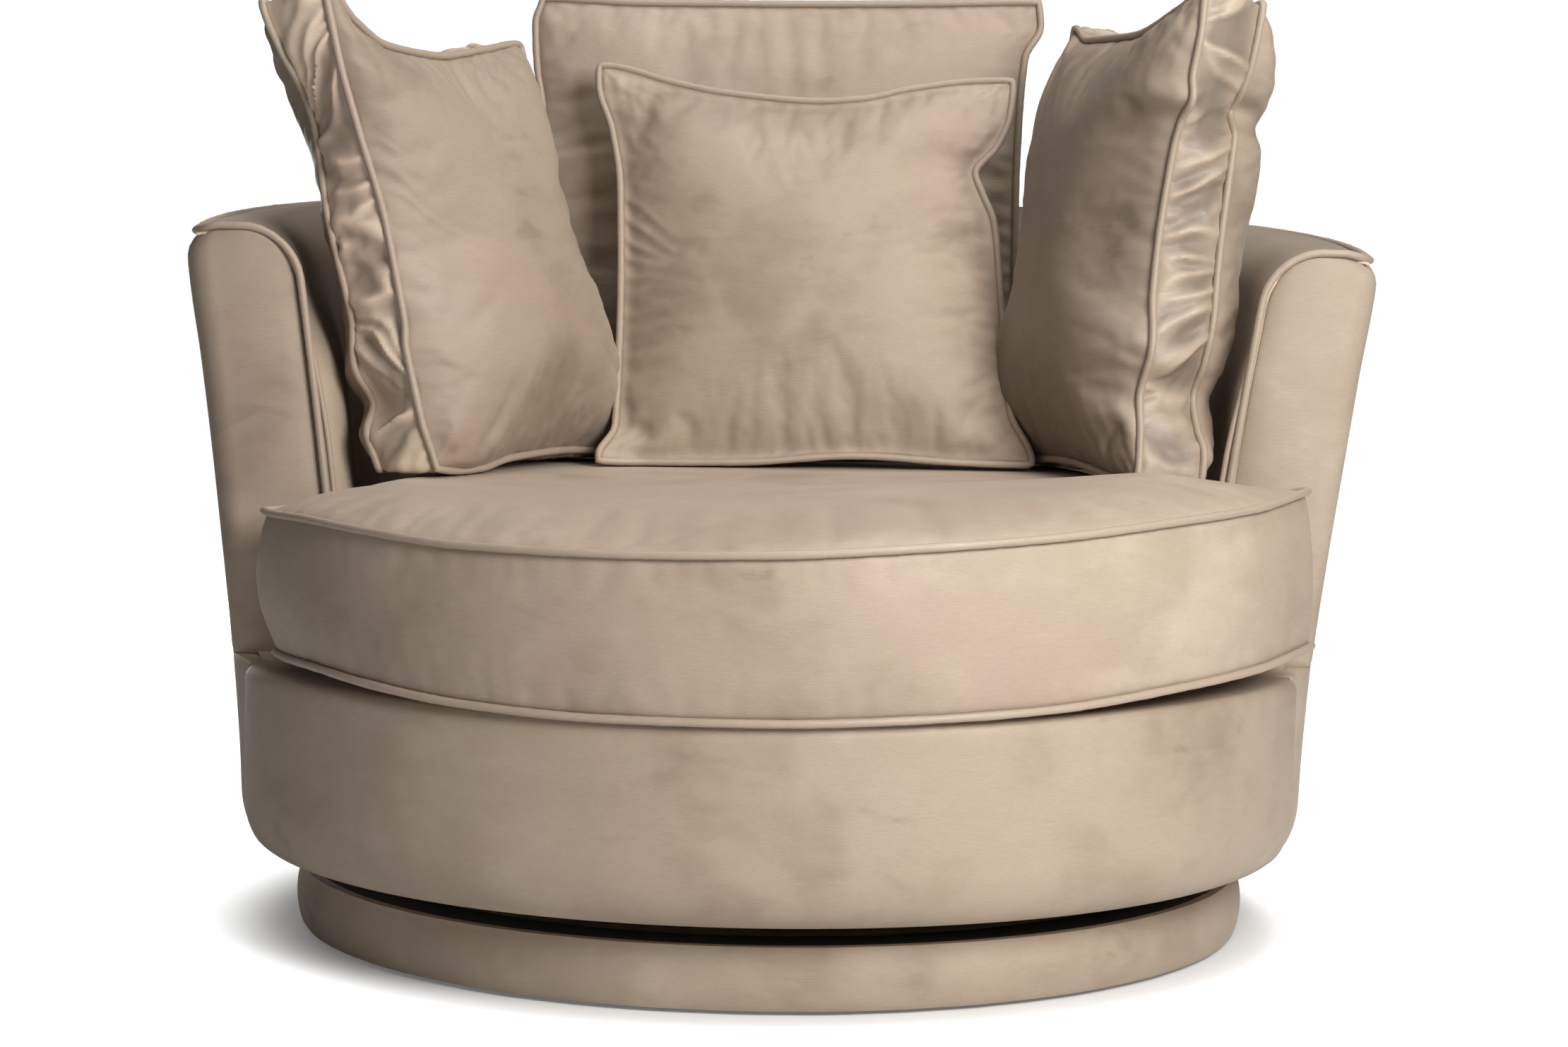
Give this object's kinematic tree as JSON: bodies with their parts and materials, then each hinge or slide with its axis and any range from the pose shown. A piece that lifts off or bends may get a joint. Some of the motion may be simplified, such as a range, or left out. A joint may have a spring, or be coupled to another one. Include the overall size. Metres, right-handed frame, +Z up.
{
  "type": "swivel armchair",
  "caption": "Round upholstered swivel armchair on a covered plinth, with a tub shell, a seat cushion, leaning back and side cushions and a scatter cushion.",
  "frame": {"origin": "the swivel axis at floor level, under the middle of the chair", "axes": "+Z up along the swivel axis; the sitter faces -Y; +X is the left arm's side as the sitter sees it, on the right in the picture"},
  "size_m": [1.243, 1.1397, 0.9951],
  "materials": {
    "mink_velvet": "crushed velvet pile with a soft sheen",
    "velvet_piping": "velvet-covered cord",
    "birch_plywood": "sanded, unfinished",
    "pressed_steel": "oiled",
    "zinc_plating": "bright zinc plate",
    "black_nylon": "moulded, matt",
    "grey_felt": "needled felt",
    "black_dust_cloth": "spun-bonded cloth"
  },
  "bodies": {
    "plinth": {"plinth_cover": "mink_velvet", "plinth_ring_frame": "birch_plywood", "plinth_top_board": "birch_plywood", "glide_1": "black_nylon", "glide_2": "black_nylon", "glide_3": "black_nylon", "glide_4": "black_nylon", "glide_5": "black_nylon", "glide_6": "black_nylon", "swivel_lower_plate": "pressed_steel", "lower_bolt_1": "zinc_plating", "lower_bolt_2": "zinc_plating", "lower_bolt_3": "zinc_plating", "lower_bolt_4": "zinc_plating"},
    "ball_ring": {"swivel_ball_ring": "zinc_plating"},
    "seat": {"swivel_upper_plate": "pressed_steel", "upper_bolt_1": "zinc_plating", "upper_bolt_2": "zinc_plating", "upper_bolt_3": "zinc_plating", "upper_bolt_4": "zinc_plating", "swivel_spacer_board": "birch_plywood", "dust_cloth": "black_dust_cloth", "seat_base_board": "birch_plywood", "drum_ring_frame": "birch_plywood", "drum_cover": "mink_velvet", "front_spring_rail": "birch_plywood", "rear_spring_rail": "birch_plywood", "zigzag_spring_1": "pressed_steel", "zigzag_spring_2": "pressed_steel", "zigzag_spring_3": "pressed_steel", "zigzag_spring_4": "pressed_steel", "spring_pad": "grey_felt", "deck_panel": "mink_velvet", "tub_frame": "birch_plywood", "tub_outer_cover": "mink_velvet", "tub_inner_pad": "mink_velvet", "tub_piping": "velvet_piping"},
    "seat_cushion": {"seat_cushion": "mink_velvet", "seat_cushion_top_piping": "velvet_piping", "seat_cushion_bottom_piping": "velvet_piping"},
    "back_cushion": {"back_cushion": "mink_velvet", "back_cushion_front_piping": "velvet_piping", "back_cushion_rear_piping": "velvet_piping"},
    "left_side_cushion": {"left_side_cushion": "mink_velvet", "left_side_cushion_front_piping": "velvet_piping", "left_side_cushion_rear_piping": "velvet_piping"},
    "right_side_cushion": {"right_side_cushion": "mink_velvet", "right_side_cushion_front_piping": "velvet_piping", "right_side_cushion_rear_piping": "velvet_piping"},
    "scatter_cushion": {"scatter_cushion": "mink_velvet", "scatter_cushion_piping": "velvet_piping"}
  },
  "joints": [
    {"name": "seat_swivel", "type": "hinge", "parent": "plinth", "child": "seat", "pos_m": [0, 0, 0.0683], "axis": [0, 0, 1], "continuous": true},
    {"name": "ball_ring_spin", "type": "hinge", "parent": "plinth", "child": "ball_ring", "pos_m": [0, 0, 0.0683], "axis": [0, 0, 1], "continuous": true},
    {"name": "seat_cushion_lift", "type": "slide", "parent": "seat", "child": "seat_cushion", "axis": [0, 0, 1], "range_m": [0, 0.3]},
    {"name": "back_cushion_lift", "type": "slide", "parent": "seat_cushion", "child": "back_cushion", "axis": [0, 0.1994, 0.9799], "range_m": [0, 0.3]},
    {"name": "left_side_cushion_lift", "type": "slide", "parent": "seat_cushion", "child": "left_side_cushion", "axis": [-0.2201, 0.1121, 0.969], "range_m": [0, 0.3]},
    {"name": "right_side_cushion_lift", "type": "slide", "parent": "seat_cushion", "child": "right_side_cushion", "axis": [0.1291, 0.0419, 0.9907], "range_m": [0, 0.3]},
    {"name": "scatter_cushion_lift", "type": "slide", "parent": "seat_cushion", "child": "scatter_cushion", "axis": [0, 0, 1], "range_m": [0, 0.3]}
  ],
  "couplings": [
    {"joint": "ball_ring_spin", "follows": "seat_swivel", "ratio": 0.5}
  ]
}
